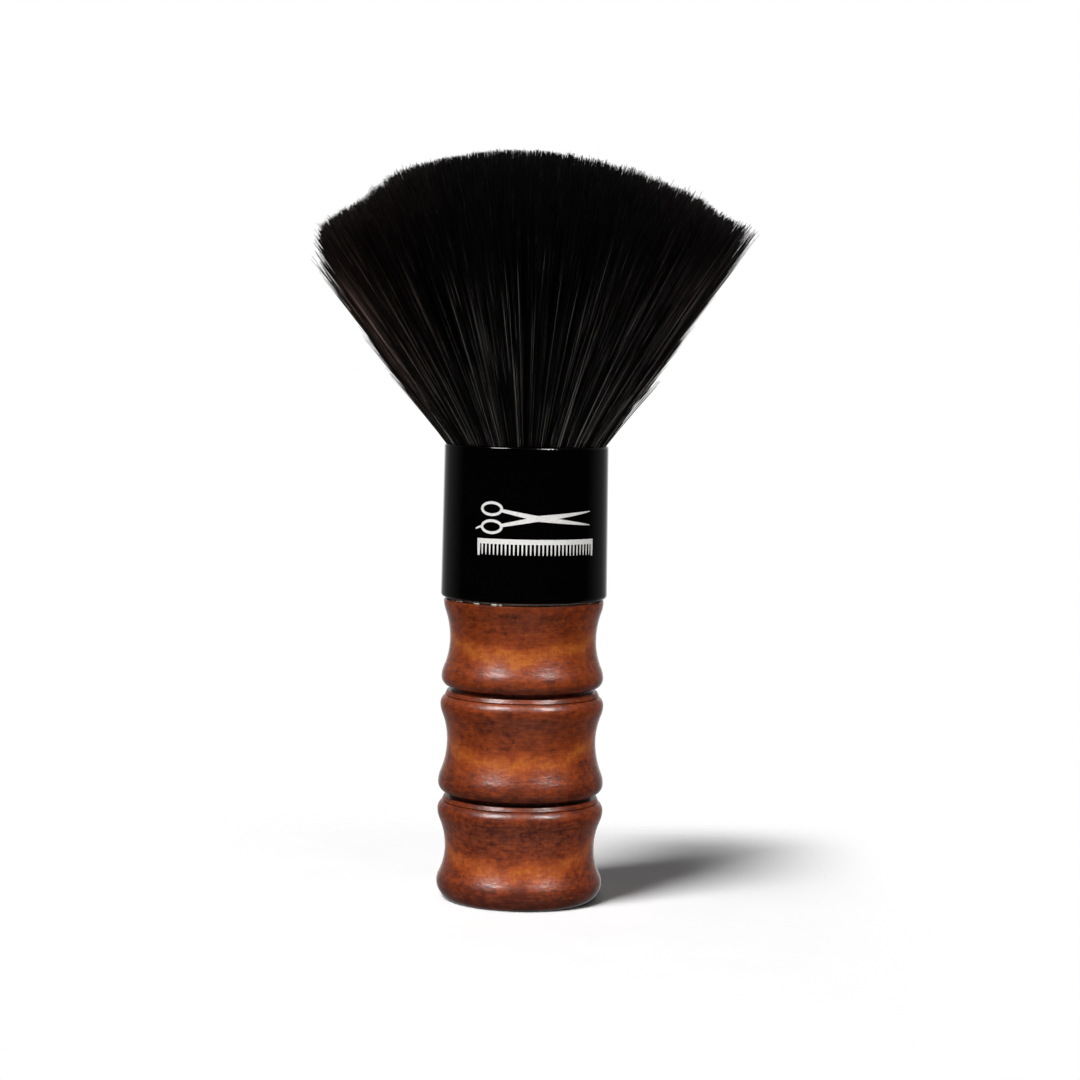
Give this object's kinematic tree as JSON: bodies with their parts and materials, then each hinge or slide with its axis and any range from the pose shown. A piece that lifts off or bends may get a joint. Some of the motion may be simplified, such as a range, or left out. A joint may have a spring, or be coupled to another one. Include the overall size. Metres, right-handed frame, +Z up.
{
  "type": "neck duster brush",
  "caption": "Barber's neck duster: a wide domed head of fine dark bristles in a gloss collar, on a turned wooden handle with waisted segments and grooves.",
  "frame": {"origin": "centre of the handle's foot, on the face that the brush stands on", "axes": "+Z up the brush's axis to the crown of the bristles; the brush is round, and -Y is the side with the printed mark"},
  "size_m": [0.0966, 0.0966, 0.165],
  "materials": {
    "stained_wood": "reddish-brown stain under clear gloss varnish",
    "adhesive": "dried cream-coloured adhesive",
    "collar_gloss": "moulded gloss black",
    "collar_print": "white pad-printed ink",
    "cup_plastic": "moulded, as it left the tool",
    "zinc_steel": "zinc plated",
    "resin": "cast amber resin",
    "waxed_cord": "waxed polyester cord",
    "nylon_bristle": "fine crimp-free nylon with a low silky sheen"
  },
  "bodies": {
    "root": {"handle": "stained_wood", "handle_adhesive": "adhesive", "collar": "collar_gloss", "knot_cup": "cup_plastic", "screw_washer": "zinc_steel", "cup_screw": "zinc_steel", "root_resin": "resin", "binding_cord": "waxed_cord", "bristle_knot": "nylon_bristle"}
  },
  "joints": []
}
